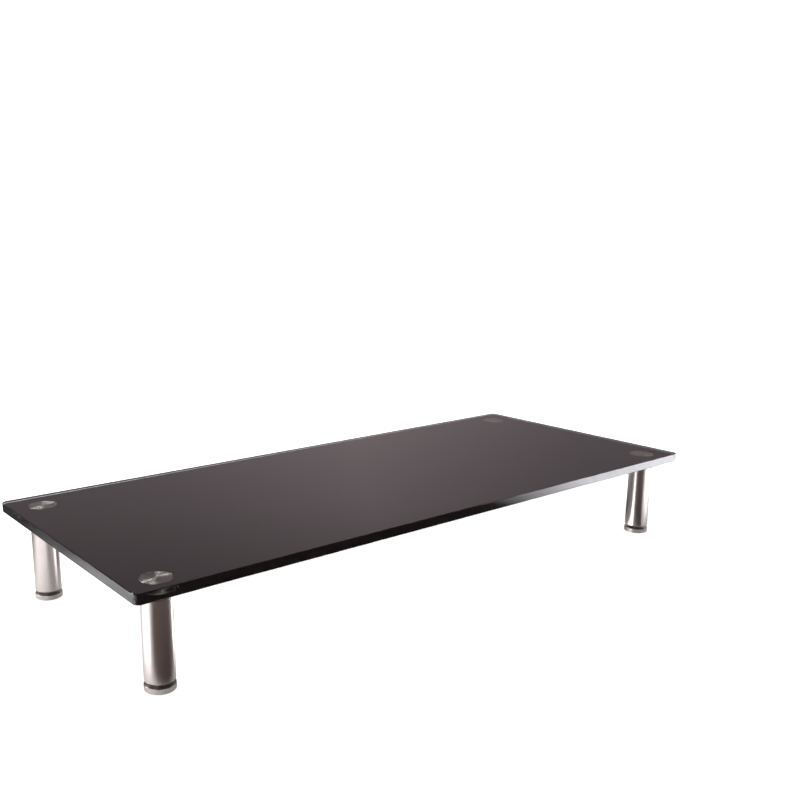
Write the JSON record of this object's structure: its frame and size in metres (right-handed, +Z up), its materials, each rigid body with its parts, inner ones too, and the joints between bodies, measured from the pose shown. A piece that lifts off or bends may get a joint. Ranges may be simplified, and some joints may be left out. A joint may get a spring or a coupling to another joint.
{
  "type": "glass monitor riser",
  "caption": "Black-backed glass shelf on short satin steel tube legs with screw-in levelling feet; lifts a monitor and leaves room for a keyboard underneath.",
  "frame": {"origin": "on the desk, under the middle of the glass shelf", "axes": "+X along the shelf's long edge, +Y from the front edge to the back edge, +Z up"},
  "size_m": [0.6, 0.25, 0.083],
  "materials": {
    "clear_glass": "polished toughened float glass",
    "black_enamel": "fired black enamel, flat and slightly dull from below",
    "clear_adhesive": "clear UV-cured adhesive film",
    "turned_steel": "fine concentric turning marks",
    "zinc_plated_steel": "bright zinc plate",
    "satin_stainless": "satin, with a fine grain round the tube",
    "cast_zinc": "dull die-cast",
    "black_nylon": "moulded black nylon",
    "chrome_screw": "bright plated thread",
    "pad_rubber": "matt anti-slip rubber"
  },
  "bodies": {
    "riser": {"glass_shelf": "clear_glass", "black_enamel": "black_enamel", "front_left_bond_film": "clear_adhesive", "front_left_bonding_disc": "turned_steel", "front_left_leg_stud": "zinc_plated_steel", "front_left_leg_tube": "satin_stainless", "front_left_top_plug": "cast_zinc", "front_left_bottom_plug": "black_nylon", "front_right_bond_film": "clear_adhesive", "front_right_bonding_disc": "turned_steel", "front_right_leg_stud": "zinc_plated_steel", "front_right_leg_tube": "satin_stainless", "front_right_top_plug": "cast_zinc", "front_right_bottom_plug": "black_nylon", "back_left_bond_film": "clear_adhesive", "back_left_bonding_disc": "turned_steel", "back_left_leg_stud": "zinc_plated_steel", "back_left_leg_tube": "satin_stainless", "back_left_top_plug": "cast_zinc", "back_left_bottom_plug": "black_nylon", "back_right_bond_film": "clear_adhesive", "back_right_bonding_disc": "turned_steel", "back_right_leg_stud": "zinc_plated_steel", "back_right_leg_tube": "satin_stainless", "back_right_top_plug": "cast_zinc", "back_right_bottom_plug": "black_nylon"},
    "front_left_pad": {"front_left_foot_pad": "pad_rubber"},
    "front_left_foot": {"front_left_foot_disc": "satin_stainless", "front_left_foot_screw": "chrome_screw"},
    "front_right_pad": {"front_right_foot_pad": "pad_rubber"},
    "front_right_foot": {"front_right_foot_disc": "satin_stainless", "front_right_foot_screw": "chrome_screw"},
    "back_left_pad": {"back_left_foot_pad": "pad_rubber"},
    "back_left_foot": {"back_left_foot_disc": "satin_stainless", "back_left_foot_screw": "chrome_screw"},
    "back_right_pad": {"back_right_foot_pad": "pad_rubber"},
    "back_right_foot": {"back_right_foot_disc": "satin_stainless", "back_right_foot_screw": "chrome_screw"}
  },
  "joints": [
    {"name": "front_left_foot_height", "type": "slide", "parent": "riser", "child": "front_left_pad", "axis": [0, 0, -1], "range_m": [-0.0025, 0.01]},
    {"name": "front_left_foot_turn", "type": "hinge", "parent": "front_left_pad", "child": "front_left_foot", "pos_m": [-0.273, -0.1005, 0], "axis": [0, 0, -1], "range_deg": [-721, 2881]},
    {"name": "front_right_foot_height", "type": "slide", "parent": "riser", "child": "front_right_pad", "axis": [0, 0, -1], "range_m": [-0.0025, 0.01]},
    {"name": "front_right_foot_turn", "type": "hinge", "parent": "front_right_pad", "child": "front_right_foot", "pos_m": [0.273, -0.1005, 0], "axis": [0, 0, -1], "range_deg": [-721, 2881]},
    {"name": "back_left_foot_height", "type": "slide", "parent": "riser", "child": "back_left_pad", "axis": [0, 0, -1], "range_m": [-0.0025, 0.01]},
    {"name": "back_left_foot_turn", "type": "hinge", "parent": "back_left_pad", "child": "back_left_foot", "pos_m": [-0.273, 0.1005, 0], "axis": [0, 0, -1], "range_deg": [-721, 2881]},
    {"name": "back_right_foot_height", "type": "slide", "parent": "riser", "child": "back_right_pad", "axis": [0, 0, -1], "range_m": [-0.0025, 0.01]},
    {"name": "back_right_foot_turn", "type": "hinge", "parent": "back_right_pad", "child": "back_right_foot", "pos_m": [0.273, 0.1005, 0], "axis": [0, 0, -1], "range_deg": [-721, 2881]}
  ],
  "couplings": [
    {"joint": "front_left_foot_turn", "follows": "front_left_foot_height", "rad_per_m": 5026.5},
    {"joint": "front_right_foot_turn", "follows": "front_right_foot_height", "rad_per_m": 5026.5},
    {"joint": "back_left_foot_turn", "follows": "back_left_foot_height", "rad_per_m": 5026.5},
    {"joint": "back_right_foot_turn", "follows": "back_right_foot_height", "rad_per_m": 5026.5}
  ]
}
